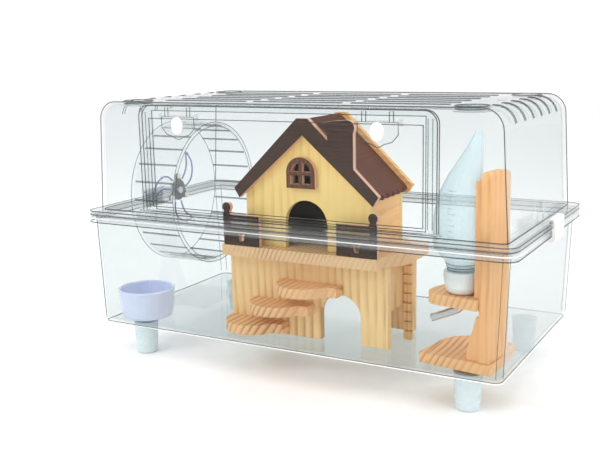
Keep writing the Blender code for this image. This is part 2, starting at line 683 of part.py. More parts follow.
def gable_outline(chimney):
    """The barge board: two arms and a flat top. The front one has a chimney drawn on its right arm."""
    end = ROOF_HALF
    cut = 0.0060  # the ends are cut square to the slope
    flat = 0.0062
    top = [(end, roof_line(end))]
    if chimney:
        top += [(0.0550, roof_line(0.0550)), (0.0550, 0.2150)]
        top += arc((0.0490, 0.2200), 0.0075, -20, 95, 5)
        top += [(0.0340, 0.2262), (0.0180, 0.2240), (0.0172, 0.2222), (0.0275, 0.2150)]
        top += [(0.0275, roof_line(0.0275))]
    top += [(flat, roof_line(flat)), (-flat, roof_line(flat)), (-end, roof_line(end))]
    low_end = roof_line(end) - cut * 1.6
    under = [(cut - end, low_end), (0, roof_line(0, GABLE_WIDTH)), (end - cut, low_end)]
    return [(HOUSE_X + x, up(z)) for x, z in under + top]


def gables():
    front = HOUSE_FRONT - 0.0030 - GAP
    front_board("gable_board_front", [gable_outline(True)], front - THIN_BOARD, front, DARK_BOARD)
    back = HOUSE_BACK + GAP
    front_board("gable_board_back", [gable_outline(False)], back, back + THIN_BOARD, PINE)


def roof_panels():
    front, back = HOUSE_FRONT - 0.0030 + 0.0002, HOUSE_BACK - 0.0002
    length = ROOF_HALF / math.cos(ROOF_PITCH)
    scallops = 6
    pitch = (back - front) / scallops
    ridge = ROOF_INSET * math.tan(ROOF_PITCH)  # where an inset panel meets the middle, down its own slope
    for side, sx, start in (("left", -1, ridge), ("right", 1, ridge + ROOF_THICKNESS + GAP)):
        # In the panel's own plane, x runs down the slope and y runs back.
        outline = [(start, front)]
        for i in range(scallops):
            middle = front + pitch * (i + 0.5)
            outline += arc((length - 0.0045, middle), 0.0045, -80, 80, 4, radius_y=pitch * 0.47)
        outline += [(start, back)]
        tilt = Matrix.Rotation(ROOF_PITCH, 4, "Y")
        face = Matrix.Scale(sx, 4, X_AXIS) @ tilt
        at = Matrix.Translation((HOUSE_X, 0, up(ROOF_APEX))) @ face
        at = at @ Matrix.Translation((0, 0, -ROOF_INSET - ROOF_THICKNESS / 2))
        keep(f"roof_panel_{side}", plate_mesh([outline], ROOF_THICKNESS, at), DARK_BOARD)


def window():
    y1 = HOUSE_FRONT - 0.0030 - GAP
    middle, half = 0.0110, 0.0160
    low, top = 0.1590, 0.1900
    outline = [(middle - half, up(low)), (middle + half, up(low)), (middle + half, up(low + 0.0160))]
    outline += arc((middle, up(low + 0.0160)), half, 0, 180, 14, radius_y=top - low - 0.0160)[1:-1]
    outline += [(middle - half, up(low + 0.0160))]
    panes = []
    for side in (-1, 1):
        x0, x1 = sorted((middle + side * 0.0020, middle + side * 0.0115))
        panes.append(rectangle((x0, up(low + 0.0040)), (x1, up(low + 0.0130))))
        inner, outer = middle + side * 0.0020, middle + side * 0.0115
        upper = [(inner, up(low + 0.0165)), (outer, up(low + 0.0165))]
        upper += [(middle + side * 0.0085, up(low + 0.0225))]
        upper += [(inner, up(low + 0.0262))]
        panes.append(upper)
    front_board("window_frame", [outline] + panes, y1 - 0.0045, y1, DARK_BOARD)


def fences():
    y0, y1 = -0.0940, -0.0895
    low, rail = PLATFORM[1] + GAP, 0.1285
    for side, outer, inner in (("left", -0.0773, -0.0344), ("right", 0.0968, 0.0534)):
        sign = 1 if outer > inner else -1
        post = outer - sign * 0.0042
        outline = [(inner, up(low)), (outer, up(low)), (outer, up(0.1290))]
        start, end = (-50, 230) if sign > 0 else (230, -50)
        outline += arc((post, up(0.1360)), 0.0050, start, end, 10)
        outline += [(outer - sign * 0.0084, up(0.1290)), (outer - sign * 0.0100, up(rail))]
        outline += [(inner, up(rail))]
        middle = (outer + inner) / 2
        tulip = [(middle - 0.0025, up(0.1015)), (middle + 0.0025, up(0.1015)), (middle + 0.0040, up(0.1100))]
        tulip += [(middle, up(0.1075)), (middle - 0.0040, up(0.1100))]
        front_board(f"fence_{side}", [outline, tulip], y0, y1, DARK_BOARD)


# ---- the bottle and its stand ----
def at_stand(part):
    """Moves a part from the stand's own frame into the cage."""
    place = Matrix.Translation((*STAND, 0)) @ Matrix.Rotation(STAND_TURN, 4, "Z")
    part.matrix_world = place @ part.matrix_world
    return part


def bottle_stand():
    low = FLOOR + GAP
    top = low + STAND_BASE
    base = [(-0.0360, -0.0290), (0.0360, -0.0290), (0.0352, -0.0060), (0.0285, 0.0420)]
    base += arc((-0.0060, 0.0120), 0.0300, 90, 180, 8)
    at_stand(flat_board("stand_base", [base], up(low), up(top), PINE))
    post = [(-0.0270, up(top + GAP)), (0.0130, up(top + GAP)), (0.0130, up(0.1780))]
    post += arc((0.0050, up(0.1780)), 0.0080, 0, 90, 5) + [(-0.0200, up(0.1860))]
    post += arc((-0.0200, up(0.1790)), 0.0070, 90, 180, 5)[1:]
    at_stand(side_board("stand_post", [post], POST[0], POST[1], PINE))
    board = rectangle((-0.0240, up(SHELF[1] + GAP)), (0.0100, up(0.1780)))
    slot = rectangle((-0.0160, up(0.1620)), (0.0020, up(0.1690)))
    at_stand(side_board("stand_back_board", [board, slot], POST[0] - 0.0060, POST[0] - GAP, PINE))
    shelf = [(POST[0] - GAP, -0.0300), (POST[0] - GAP, 0.0130), (-0.0120, 0.0130)]
    shelf += arc((-0.0160, -0.0080), 0.0160, 90, 180, 6, radius_y=0.0210)
    shelf += arc((-0.0160, -0.0150), 0.0160, 180, 270, 6, radius_y=0.0150)
    hole = arc(BOTTLE, 0.0050, 0, 345, 23)
    at_stand(flat_board("stand_shelf", [shelf, hole], up(SHELF[0]), up(SHELF[1]), PINE))
    gusset = [(POST[0] - GAP, up(top + GAP)), (POST[0] - GAP, up(0.0550)), (POST[0] - 0.0035, up(0.0550))]
    gusset += [(POST[0] - 0.0125, up(0.0210)), (POST[0] - 0.0125, up(top + GAP))]
    at_stand(front_board("stand_gusset", [gusset], -0.0250, -0.0090, PINE))


def bottle_rings(steps=24):
    """Sections up the bottle: a round neck, then a body with an upright back that narrows to a point."""
    bx, by = BOTTLE
    back = POST[0] - 0.0063
    rings = []
    for height, radius in ((0.0790, 0.0132), (0.0950, 0.0132), (0.1010, 0.0150)):
        rings.append((height, bx - radius, bx + radius, radius))
    body = ((0.1050, -0.0200, 0.0166), (0.1120, -0.0278, 0.0180), (0.1290, -0.0302, 0.0184))
    body += ((0.1440, -0.0292, 0.0182), (0.1630, -0.0245, 0.0172), (0.1800, -0.0158, 0.0150))
    body += ((0.1960, -0.0045, 0.0118), (0.2090, 0.0045, 0.0084), (0.2210, 0.0110, 0.0048))
    rings += [(height, left, back, depth) for height, left, depth in body]
    made = []
    for height, left, right, depth in rings:
        middle, half = (left + right) / 2, (right - left) / 2
        ring = arc((middle, by), half, 0, 360 - 360 / steps, steps - 1, depth)
        made.append([(x, y, up(height)) for x, y in ring])
    return made


def bottle():
    at_stand(smooth(keep("bottle_body", lofted(bottle_rings()), CLEAR), 50))
    bx, by = BOTTLE
    low = SHELF[1] + GAP
    cap = [
        (0.0136, low + 0.0210),
        (CAP_RADIUS, low + 0.0210),
        (CAP_RADIUS - 0.0004, low + 0.0120),
        (CAP_RADIUS - 0.0010, low + 0.0065),
        (CAP_RADIUS - 0.0028, low + 0.0024),
        (CAP_RADIUS - 0.0062, low),
        (0.0042, low),
        (0.0042, low + 0.0060),
        (0.0136, low + 0.0060),
    ]
    profile = [(radius, up(height)) for radius, height in cap]
    at_stand(turned("bottle_cap", profile, Matrix.Translation((bx, by, 0)), WHITE, 32))
    spout()


def spout_route():
    """The spout's middle line in the stand's frame: down through the shelf, then out and forwards."""
    bx, by = BOTTLE
    start, turn = Vector((bx, by, up(SHELF[1] + 0.0035))), Vector((bx, by, up(0.0575)))
    end = Vector((bx - 0.0270, by - 0.0080, up(0.0460)))
    points = [start, turn + Vector((0, 0, 0.0050))]
    for i in range(1, 6):
        t = i / 6
        a, b = turn + Vector((0, 0, 0.0050)), turn + (end - turn) * 0.2
        points.append(a.lerp(turn, t).lerp(turn.lerp(b, t), t))
    return points + [turn + (end - turn) * 0.2, end]


def spout():
    route = spout_route()
    curve = bpy.data.curves.new("spout", "CURVE")
    curve.dimensions = "3D"
    curve.bevel_depth = 0.0037
    curve.bevel_resolution = 3
    curve.use_fill_caps = True
    spline = curve.splines.new("POLY")
    spline.points.add(len(route) - 1)
    for point, place in zip(spline.points, route):
        point.co = (*place, 1)
    drawn = bpy.data.objects.new("spout", curve)
    cage.objects.link(drawn)
    bpy.context.view_layer.update()
    mesh = bpy.data.meshes.new_from_object(drawn.evaluated_get(bpy.context.evaluated_depsgraph_get()))
    bpy.data.objects.remove(drawn, do_unlink=True)
    bm = bmesh.new()
    bm.from_mesh(mesh)
    bmesh.ops.remove_doubles(bm, verts=bm.verts, dist=0.000001)
    bmesh.ops.recalc_face_normals(bm, faces=bm.faces)
    bm.to_mesh(mesh)
    bm.free()
    tube = keep("bottle_spout", mesh, STEEL)
    along = (route[-1] - route[-2]).normalized()
    bore = rod_mesh(route[-1] - along * 0.0080, route[-1] + along * 0.002, 0.0030, segments=16)
    boolean(tube, cutter(bore))
    at_stand(smooth(baked(tube)))
    bm = bmesh.new()
    spot = Matrix.Translation(route[-1] - along * 0.0014)
    bmesh.ops.create_uvsphere(bm, u_segments=12, v_segments=8, radius=0.0026, matrix=spot)
    at_stand(smooth(keep("spout_ball", finish_mesh(bm), STEEL)))


# ---- the bowl ----
def bowl():
    low = FLOOR + GAP
    profile = [
        (0.0315, low + 0.0310),
        (0.0300, low + 0.0150),
        (0.0285, low + 0.0030),
        (0.0265, low),
        (0, low),
        (0, low + 0.0060),
        (0.0230, low + 0.0065),
        (0.0262, low + 0.0105),
        (0.0282, low + 0.0310),
        (0.0298, low + 0.0322),
    ]
    heights = [(radius, up(height)) for radius, height in profile]
    turned("bowl", heights, Matrix.Translation((*BOWL, 0)), CERAMIC, 40)


def main():
    tub()
    feet()
    lid()
    door()
    latches()
    side_clips()
    wheel()
    wheel_stand()
    house_base()
    platform()
    steps()
    ladder()
    house_top_walls()
    gables()
    roof_panels()
    window()
    fences()
    bottle_stand()
    bottle()
    bowl()


main()
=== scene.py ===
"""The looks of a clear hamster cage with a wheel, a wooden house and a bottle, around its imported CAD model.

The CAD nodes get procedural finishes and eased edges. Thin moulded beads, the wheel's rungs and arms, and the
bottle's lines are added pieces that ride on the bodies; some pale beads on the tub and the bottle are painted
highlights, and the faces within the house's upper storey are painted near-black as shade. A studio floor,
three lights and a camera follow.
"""

import math

import bmesh
import bpy
from mathutils import Matrix, Vector


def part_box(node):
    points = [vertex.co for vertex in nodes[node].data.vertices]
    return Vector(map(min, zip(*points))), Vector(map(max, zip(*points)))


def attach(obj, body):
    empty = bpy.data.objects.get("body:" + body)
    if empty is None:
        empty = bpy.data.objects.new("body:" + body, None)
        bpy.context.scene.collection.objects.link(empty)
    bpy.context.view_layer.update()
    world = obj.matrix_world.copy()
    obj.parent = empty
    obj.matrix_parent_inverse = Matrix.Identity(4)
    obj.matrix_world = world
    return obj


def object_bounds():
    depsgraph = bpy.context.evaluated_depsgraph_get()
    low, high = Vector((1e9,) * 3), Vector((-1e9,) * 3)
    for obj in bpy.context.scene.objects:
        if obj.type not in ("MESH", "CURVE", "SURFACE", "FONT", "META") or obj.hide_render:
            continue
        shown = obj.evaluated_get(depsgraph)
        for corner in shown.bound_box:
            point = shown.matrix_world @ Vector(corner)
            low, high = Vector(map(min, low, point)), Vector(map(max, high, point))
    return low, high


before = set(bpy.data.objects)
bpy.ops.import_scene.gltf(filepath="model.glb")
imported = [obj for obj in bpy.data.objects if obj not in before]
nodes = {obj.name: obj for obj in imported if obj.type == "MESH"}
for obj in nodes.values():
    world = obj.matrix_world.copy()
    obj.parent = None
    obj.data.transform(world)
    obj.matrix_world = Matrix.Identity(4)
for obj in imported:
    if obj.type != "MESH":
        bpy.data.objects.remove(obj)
cad_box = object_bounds()
scene = bpy.context.scene


# ---- sizes, read from the frame ----
def low(node):
    return Vector(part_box(node)[0])


def high(node):
    return Vector(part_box(node)[1])


def middle(node):
    return (low(node) + high(node)) / 2


TUB_FLOOR = low("tub").z
TUB_RIM = high("tub").z
SKIRT_LOW = TUB_RIM - 0.0085  # the lower edge of the skirt round the tub's rim
LID_TOP = high("lid").z
WHEEL = Vector((0, middle("wheel_bearing").y, middle("wheel_bearing").z))
WHEEL_RADIUS = (high("wheel_drum").z - low("wheel_drum").z) / 2
WHEEL_OPEN = high("wheel_drum").x
WHEEL_CLOSED = low("wheel_hub_plate").x - 0.0028  # the closed side's outer face, 2.8 mm beyond the hub plate


# ---- node materials ----
COOL = (0.948, 0.962, 0.963)  # what one face of a clear moulding lets through
EDGE = (0.42, 0.45, 0.47)  # the same where it is seen along its wall
THICK = (0.91, 0.922, 0.925)  # the same at the rims
TUB_COOL = (0.920, 0.938, 0.938)  # COOL for the tub, which is a little darker than the lid
BAND_FADE = 0.0006  # height over which a thick band comes in
BAND_HAZE = 0.07
PLANK_SHIFT = (0.09, 0.06)  # how far a plank's pith may lie from the board's own
WANDER = (0.016, 0.010)  # how far the growth rings stray from true circles
INSIDE_SHADE_DARK, INSIDE_SHADE_LIGHT = (0.030, 0.018, 0.011), (0.060, 0.036, 0.022)  # painted shade: a near-black wood tone for the faces within the upper storey, which lie in shade


class Nodes:
    """Builds one material's nodes in few words."""

    def __init__(self, name):
        self.material = bpy.data.materials.new(name)
        self.material.use_nodes = True
        self.tree = self.material.node_tree
        self.tree.nodes.clear()

    def add(self, kind, settings=None, **inputs):
        made = self.tree.nodes.new(kind)
        for key, value in (settings or {}).items():
            setattr(made, key, value)
        for key, value in inputs.items():
            self.plug(made.inputs[key.replace("_", " ")], value)
        return made

    def plug(self, socket, value):
        if isinstance(value, bpy.types.NodeSocket):
            self.tree.links.new(value, socket)
        elif isinstance(value, (tuple, list)) and len(value) == 3 and len(socket.default_value) == 4:
            socket.default_value = (*value, 1)
        else:
            socket.default_value = value

    def math(self, operation, *values, clamp=False):
        made = self.add("ShaderNodeMath", {"operation": operation, "use_clamp": clamp})
        for socket, value in zip(made.inputs, values):
            self.plug(socket, value)
        return made.outputs[0]

    def ramp(self, value, start, end, low_value=0.0, high_value=1.0):
        """value, eased from low_value at start to high_value at end."""
        made = self.add("ShaderNodeMapRange", {"interpolation_type": "SMOOTHSTEP"})
        for socket, number in zip(made.inputs, (value, start, end, low_value, high_value)):
            self.plug(socket, number)
        return made.outputs[0]

    def mix(self, share, a, b):
        """Colour a, changed to b by share."""
        made = self.add("ShaderNodeMix", {"data_type": "RGBA"})
        self.plug(made.inputs[0], share)
        self.plug(made.inputs[6], a)
        self.plug(made.inputs[7], b)
        return made.outputs[2]

    def noise(self, vector, scale, detail=3.0, roughness=0.5):
        made = self.add("ShaderNodeTexNoise", Scale=scale, Detail=detail, Roughness=roughness)
        self.plug(made.inputs["Vector"], vector)
        return made.outputs["Fac"]

    def place(self, scale=(1, 1, 1), turn=(0, 0, 0), move=(0, 0, 0)):
        """Object coordinates, moved, turned and scaled."""
        coordinates = self.add("ShaderNodeTexCoord")
        made = self.add("ShaderNodeMapping", Location=move, Rotation=turn, Scale=scale)
        self.plug(made.inputs["Vector"], coordinates.outputs["Object"])
        return made.outputs[0]

    def split(self, vector):
        made = self.add("ShaderNodeSeparateXYZ")
        self.plug(made.inputs[0], vector)
        return made.outputs

    def object_normal(self):
        return self.split(self.add("ShaderNodeTexCoord").outputs["Normal"])

    def principled(self, bump=None, strength=0.2, distance=0.0005, **inputs):
        made = self.add("ShaderNodeBsdfPrincipled", **inputs)
        if bump is not None:
            relief = self.add("ShaderNodeBump", Strength=strength, Distance=distance, Height=bump)
            self.tree.links.new(relief.outputs[0], made.inputs["Normal"])
        return made.outputs[0]

    def blend(self, share, a, b):
        """Shader a, changed to b by share."""
        made = self.add("ShaderNodeMixShader")
        for socket, value in zip(made.inputs, (share, a, b)):
            self.plug(socket, value)
        return made.outputs[0]

    def done(self, shader):
        out = self.add("ShaderNodeOutputMaterial")
        self.tree.links.new(shader, out.inputs["Surface"])
        return self.material


def clear_plastic(
    name, tint, edge, haze=0.003, gloss=0.9, facing_gloss=0.006, grazing=8.0, thick=None,
    body=(0.80, 0.82, 0.83),
):
    """Thin clear moulding: see-through, and greyer and glossier where it is seen along its wall.

    tint and edge are what it lets through face on and along its wall, and a higher grazing keeps edge nearer
    the outline. facing_gloss is how much it mirrors face on, and gloss is what the outline adds. haze is
    about the share of its own pale colour, body. thick is (axis, from, to): the band where its plastic is
    thickest.
    """
    n = Nodes(name)
    facing = n.add("ShaderNodeLayerWeight", Blend=0.5).outputs["Facing"]
    grey = n.math("POWER", facing, grazing)
    colour = n.mix(grey, tint, edge)
    band = 0.0
    if thick:
        axis, start, end = thick
        place = n.split(n.place())[axis]
        rise = n.ramp(place, start - BAND_FADE, start)
        fall = n.ramp(place, end, end + BAND_FADE, 1.0, 0.0)
        band = n.math("MULTIPLY", rise, fall)
        colour = n.mix(band, colour, n.mix(grey, THICK, edge))
    through = n.add("ShaderNodeBsdfTransparent", Color=colour).outputs[0]
    smear = n.noise(n.place(), 38.0, 4.0, 0.6)
    rough = n.ramp(smear, 0.35, 0.75, 0.02, 0.09)
    shine = n.add("ShaderNodeBsdfGlossy", Roughness=rough, Color=(0.97, 0.98, 0.98)).outputs[0]
    mirror = n.math("MULTIPLY_ADD", n.math("POWER", facing, 5.0), gloss, facing_gloss, clamp=True)
    surface = n.blend(mirror, through, shine)
    dust = n.ramp(n.noise(n.place(), 7.0, 3.0), 0.3, 0.7, haze * 0.6, haze * 1.4)
    milky = n.math("MULTIPLY_ADD", band, BAND_HAZE, dust)
    return n.done(n.blend(milky, surface, n.principled(Base_Color=body, Roughness=0.35, IOR=1.5)))


def wood(
    name, light, dark, grain="Z", pitch=0.0042, pith=(0.030, 0.055), plank=0.0, strength=0.8, seed=0.0,
    face=None, shaded_inside=None,
):
    """Sawn softwood: growth rings round a pith line along the grain, planks that change them, and fibres.

    pitch is the rings' spacing, pith the place of their centre, plank the planks' width and strength the dark
    of the late wood. face is (colour, cut colour): a stain on the broad faces across Y, and the bare wood of
    the cut edges. The last argument, (axis, sign), is painted shade: the faces turned that way are painted a
    near-black wood tone, for the shaded interior of the upper storey.
    """
    n = Nodes(name)
    turn = {"Z": (0, 0, 0), "X": (0, math.pi / 2, 0), "Y": (math.pi / 2, 0, 0)}[grain]
    here = n.place(turn=turn, move=(seed * 0.37, seed * 0.21, seed * 0.13))
    u, v, _ = n.split(here)
    if plank:
        cell = n.math("FLOOR", n.math("DIVIDE", u, plank))
        chance = n.add("ShaderNodeTexWhiteNoise", {"noise_dimensions": "1D"}, W=n.math("ADD", cell, seed))
        offset = n.split(chance.outputs["Color"])
        u = n.math("MULTIPLY_ADD", offset[0], PLANK_SHIFT[0], u)
        v = n.math("MULTIPLY_ADD", offset[1], PLANK_SHIFT[1], v)
    bend_scale = (1, 1, 0.35) if grain == "Z" else (0.6, 0.6, 0.6)
    bend = n.noise(n.place(scale=bend_scale, move=(seed, 0, 0)), 14.0, 2.0)
    across = n.math("MULTIPLY_ADD", bend, WANDER[0], n.math("SUBTRACT", u, pith[0]))
    deep = n.math("MULTIPLY_ADD", bend, WANDER[1], n.math("SUBTRACT", v, pith[1]))
    radius = n.math("SQRT", n.math("ADD", n.math("MULTIPLY", across, across), n.math("MULTIPLY", deep, deep)))
    ring = n.math("FRACT", n.math("DIVIDE", radius, pitch))
    late = n.math("MULTIPLY", n.ramp(ring, 0.40, 0.88), n.ramp(ring, 0.92, 1.0, 1.0, 0.0))
    uneven = n.ramp(n.noise(n.place(move=(0, seed, 0)), 13.0, 2.0), 0.35, 0.65, 0.15, 1.0)
    stretch = {"Z": (900, 900, 28), "X": (28, 900, 900), "Y": (900, 28, 900)}[grain]
    fibre = n.noise(n.place(scale=stretch), 1.0, 3.0, 0.65)
    colour = n.mix(n.math("MULTIPLY", n.math("MULTIPLY", late, uneven), strength), light, dark)
    stain = n.noise(n.place(move=(seed, seed, 0)), 11.0, 3.0)
    tinged = tuple(0.86 * a + 0.14 * b for a, b in zip(light, dark))
    colour = n.mix(n.ramp(stain, 0.35, 0.75, 0.0, 0.30), colour, tinged)
    colour = n.mix(n.ramp(fibre, 0.40, 0.75, 0.0, 0.22), colour, dark)
    if face:
        stained, cut = face
        broad = n.ramp(n.math("ABSOLUTE", n.object_normal()[1]), 0.55, 0.75)
        shade = n.mix(n.ramp(fibre, 0.30, 0.70, 0.0, 0.65), stained, tuple(c * 0.45 for c in stained))
        worn = n.mix(n.ramp(late, 0.2, 0.9, 0.0, 0.5), shade, tuple(min(1.0, c * 1.7) for c in stained))
        edge = n.mix(n.ramp(fibre, 0.3, 0.7, 0.0, 0.3), cut, tuple(c * 0.7 for c in cut))
        colour = n.mix(broad, edge, worn)
    # painted shade: faces turned toward the storey's interior get a near-black wood tone
    if shaded_inside:
        axis, sign = shaded_inside
        inside_shade_mask = n.ramp(n.math("MULTIPLY", n.object_normal()[axis], sign), 0.5, 0.8)
        colour = n.mix(inside_shade_mask, colour, n.mix(fibre, INSIDE_SHADE_DARK, INSIDE_SHADE_LIGHT))
    rough = n.ramp(fibre, 0.2, 0.8, 0.42, 0.62)
    relief = n.math("MULTIPLY_ADD", late, 0.5, fibre)
    return n.done(
        n.principled(
            relief, 0.25, 0.0003, Base_Color=colour, Roughness=rough, IOR=1.45, Specular_IOR_Level=0.3
        )
    )


def moulded(name, colour, rough=(0.22, 0.38), subsurface=0.0, coat=0.0, bump=0.08):
    """Opaque moulded plastic, or a glaze when it has a coat: a faint cloudiness and a fine orange peel."""
    n = Nodes(name)
    cloud = n.noise(n.place(), 60.0, 3.0)
    tone = n.mix(n.ramp(cloud, 0.3, 0.7, 0.0, 0.5), colour, tuple(c * 0.94 for c in colour))
    smear = n.noise(n.place(), 140.0, 3.0, 0.6)
    shader = n.principled(
        n.noise(n.place(), 900.0, 2.0), bump, 0.0002,
        Base_Color=tone, Roughness=n.ramp(smear, 0.3, 0.75, *rough), IOR=1.5,
        Subsurface_Weight=subsurface, Subsurface_Scale=0.004, Coat_Weight=coat, Coat_Roughness=0.06,
    )
    return n.done(shader)


def metal(name, colour):
    """Drawn steel with fine scratches round it."""
    n = Nodes(name)
    scratch = n.noise(n.place(scale=(300, 2500, 2500)), 1.0, 3.0, 0.7)
    rough = n.ramp(scratch, 0.3, 0.75, 0.14, 0.32)
    return n.done(n.principled(scratch, 0.08, 0.0001, Base_Color=colour, Metallic=1.0, Roughness=rough))


tub_clear = clear_plastic("tub_clear", TUB_COOL, EDGE, thick=(2, SKIRT_LOW, TUB_RIM))
lid_clear = clear_plastic("lid_clear", COOL, EDGE, thick=(2, TUB_RIM, TUB_RIM + 0.0040))
door_clear = clear_plastic("door_clear", COOL, EDGE)
latch_clear = clear_plastic(
    "latch_clear", (0.980, 0.984, 0.984), (0.20, 0.22, 0.23), haze=0.010, grazing=5.0
)
wheel_clear = clear_plastic(
    "wheel_clear", (0.985, 0.988, 0.992), (0.50, 0.53, 0.57), haze=0.010, grazing=7.0
)
stand_clear = clear_plastic(
    "stand_clear", (0.985, 0.988, 0.990), (0.50, 0.53, 0.57), haze=0.006, grazing=7.0
)
bottle_clear = clear_plastic(
    "bottle_clear", (0.90, 0.968, 0.99), (0.62, 0.80, 0.90), haze=0.40, gloss=1.0, facing_gloss=0.05,
    grazing=3.5, body=(0.86, 0.97, 1.0),
)
line_clear = clear_plastic(
    "moulded_edge", (0.62, 0.64, 0.65), (0.20, 0.21, 0.22), haze=0.06, grazing=2.0
)
fine_line = clear_plastic(
    "moulded_edge_fine", (0.74, 0.76, 0.77), (0.32, 0.34, 0.35), haze=0.06, grazing=2.0
)
dark_line = clear_plastic(
    "moulded_edge_dark", (0.42, 0.43, 0.44), (0.09, 0.09, 0.095), haze=0.06, grazing=2.0
)
# painted highlight: a pale, hazy white bead laid where light glints along an edge
painted_highlight_line = clear_plastic(
    "painted_highlight_bead", (0.90, 0.91, 0.91), (0.70, 0.72, 0.73), haze=0.75, body=(0.95, 0.96, 0.96)
)
arm_clear = clear_plastic(
    "wheel_arm", (0.60, 0.62, 0.75), (0.26, 0.27, 0.38), haze=0.10, grazing=2.0, body=(0.50, 0.51, 0.72)
)
graduation = moulded("graduation_ink", (0.42, 0.52, 0.58))

PINE, PINE_DARK = (0.90, 0.58, 0.28), (0.50, 0.23, 0.08)
PALE, PALE_DARK = (0.90, 0.66, 0.26), (0.66, 0.42, 0.13)
WALL_PINE, WALL_DARK = (0.94, 0.56, 0.25), (0.62, 0.32, 0.12)
ESPRESSO = (0.060, 0.030, 0.021)
FENCE_BROWN = (0.050, 0.024, 0.016)
WINDOW_BROWN = (0.13, 0.055, 0.028)
ROOF_BROWN = (0.125, 0.030, 0.010)
CUT_EDGE = (0.80, 0.48, 0.34)

pine_front = wood(
    "pine_front", (0.94, 0.66, 0.33), PINE_DARK, "Z", 0.0090, (-0.070, 0.085), strength=0.75, seed=1.0
)
pine_side = wood("pine_side", PINE, PINE_DARK, "Z", 0.0050, (0.040, 0.060), seed=2.0)
pine_deck = wood(
    "pine_deck", (0.94, 0.62, 0.35), (0.31, 0.14, 0.06), "Y", 0.0048, (0.02, 0.030),
    plank=0.046, strength=1.0, seed=3.0,
)
pine_step = wood(
    "pine_step", (0.94, 0.56, 0.29), (0.33, 0.14, 0.05), "Y", 0.0064, (0.03, 0.040),
    plank=0.037, strength=0.90, seed=4.5,
)
pine_stand = wood(
    "pine_stand", (0.92, 0.50, 0.23), (0.58, 0.27, 0.10), "Z", 0.0060, (0.23, -0.03), strength=0.6, seed=5.0
)
pine_base = wood(
    "pine_base", (0.94, 0.54, 0.26), (0.36, 0.16, 0.07), "Y", 0.0058, (0.05, 0.040),
    plank=0.030, strength=0.85, seed=6.0,
)
# pine_wall, left_wall and pale_back paint shade near-black on their faces turned toward the storey's interior
pine_wall = wood(
    "pine_wall", WALL_PINE, WALL_DARK, "Y", 0.0062, (0.02, 0.065), strength=0.7, seed=7.0, shaded_inside=(0, -1)
)
left_wall = wood(
    "left_wall", WALL_PINE, WALL_DARK, "Y", 0.0062, (0.02, 0.065), strength=0.7, seed=7.5, shaded_inside=(0, 1)
)
pale_wall = wood("pale_wall", PALE, PALE_DARK, "Z", 0.0085, (0.016, 0.045), strength=0.50, seed=8.0)
pale_back = wood(
    "pale_back", PALE, PALE_DARK, "Z", 0.0085, (0.016, 0.045), strength=0.50, seed=8.5, shaded_inside=(1, -1)
)
gable_dark = wood("gable_dark", PINE, PINE_DARK, "X", face=(ESPRESSO, CUT_EDGE), seed=9.0)
gable_back = wood(
    "gable_back", (0.92, 0.52, 0.22), (0.56, 0.28, 0.11), "X", 0.0060, (0.10, 0.05), strength=0.6, seed=10.0
)
window_dark = wood("window_dark", PINE, PINE_DARK, "Z", face=(WINDOW_BROWN, CUT_EDGE), seed=11.0)
fence_dark = wood("fence_dark", PINE, PINE_DARK, "X", face=(FENCE_BROWN, CUT_EDGE), seed=12.0)
roof_dark = wood(
    "roof_dark", ROOF_BROWN, (0.055, 0.022, 0.016), "Y", 0.0050, (0.02, 0.05), strength=0.7, seed=13.0
)

white_plastic = moulded("white_plastic", (0.84, 0.85, 0.84), (0.25, 0.40), subsurface=0.1)
foot_plastic = moulded("foot_plastic", (0.60, 0.71, 0.74), (0.22, 0.35), subsurface=0.15)
bowl_glaze = moulded(
    "bowl_glaze", (0.72, 0.77, 0.98), (0.10, 0.20), subsurface=0.05, coat=0.6, bump=0.03
)
grey_plastic = moulded("grey_plastic", (0.22, 0.22, 0.25), (0.35, 0.5))
steel = metal("steel", (0.62, 0.62, 0.63))
floor_paint = moulded("floor_paint", (0.95, 0.95, 0.95), (0.5, 0.6))

FINISH_OF = {
    tub_clear: ["tub"],
    lid_clear: ["lid"],
    door_clear: ["door"],
    latch_clear: ["latch_flap_left", "latch_flap_right"],
    wheel_clear: ["wheel_drum"],
    stand_clear: ["wheel_stand_plate", "wheel_stand_base"],
    bottle_clear: ["bottle_body"],
    white_plastic: ["side_clip_left", "side_clip_right", "latch_button_left", "latch_button_right",
                    "bottle_cap", "hub_screw_1", "hub_screw_2", "hub_screw_3"],
    foot_plastic: ["foot_front_left", "foot_front_right", "foot_back_left", "foot_back_right"],
    bowl_glaze: ["bowl"],
    grey_plastic: ["wheel_hub_plate"],
    steel: ["door_hinge_pin_left", "door_hinge_pin_right", "clip_pin_left", "clip_pin_right", "wheel_axle",
            "wheel_bearing", "bottle_spout", "spout_ball"],
    pine_front: ["house_front_wall"],
    pine_side: ["house_back_wall", "house_left_wall", "house_right_wall", "house_ladder"],
    pine_deck: ["house_platform"],
    pine_step: ["house_step_1", "house_step_2", "house_step_3"],
    pine_stand: ["stand_post", "stand_back_board", "stand_gusset"],
    pine_base: ["stand_base", "stand_shelf"],
    pine_wall: ["upper_right_wall"],
    left_wall: ["upper_left_wall"],
    pale_wall: ["upper_front_wall"],
    pale_back: ["upper_back_wall"],
    gable_dark: ["gable_board_front"],
    gable_back: ["gable_board_back"],
    window_dark: ["window_frame"],
    fence_dark: ["fence_left", "fence_right"],
    roof_dark: ["roof_panel_left", "roof_panel_right"],
}
EASED = {  # the width of the bevel: the pieces whose edges it eases
    0.0014: ["stand_shelf", "stand_base"],
    0.0012: ["stand_post"],
    0.0010: ["house_front_wall", "house_platform", "house_step_1", "house_step_2", "house_step_3"],
    0.0008: ["stand_gusset", "stand_back_board"],
    0.0007: ["gable_board_front", "gable_board_back", "latch_button_left", "latch_button_right",
             "roof_panel_left", "roof_panel_right"],
    0.0006: ["fence_left", "fence_right", "side_clip_left", "side_clip_right", "house_left_wall",
             "house_right_wall"],
    0.0005: ["window_frame"],
    0.0004: ["upper_left_wall", "upper_right_wall"],
}

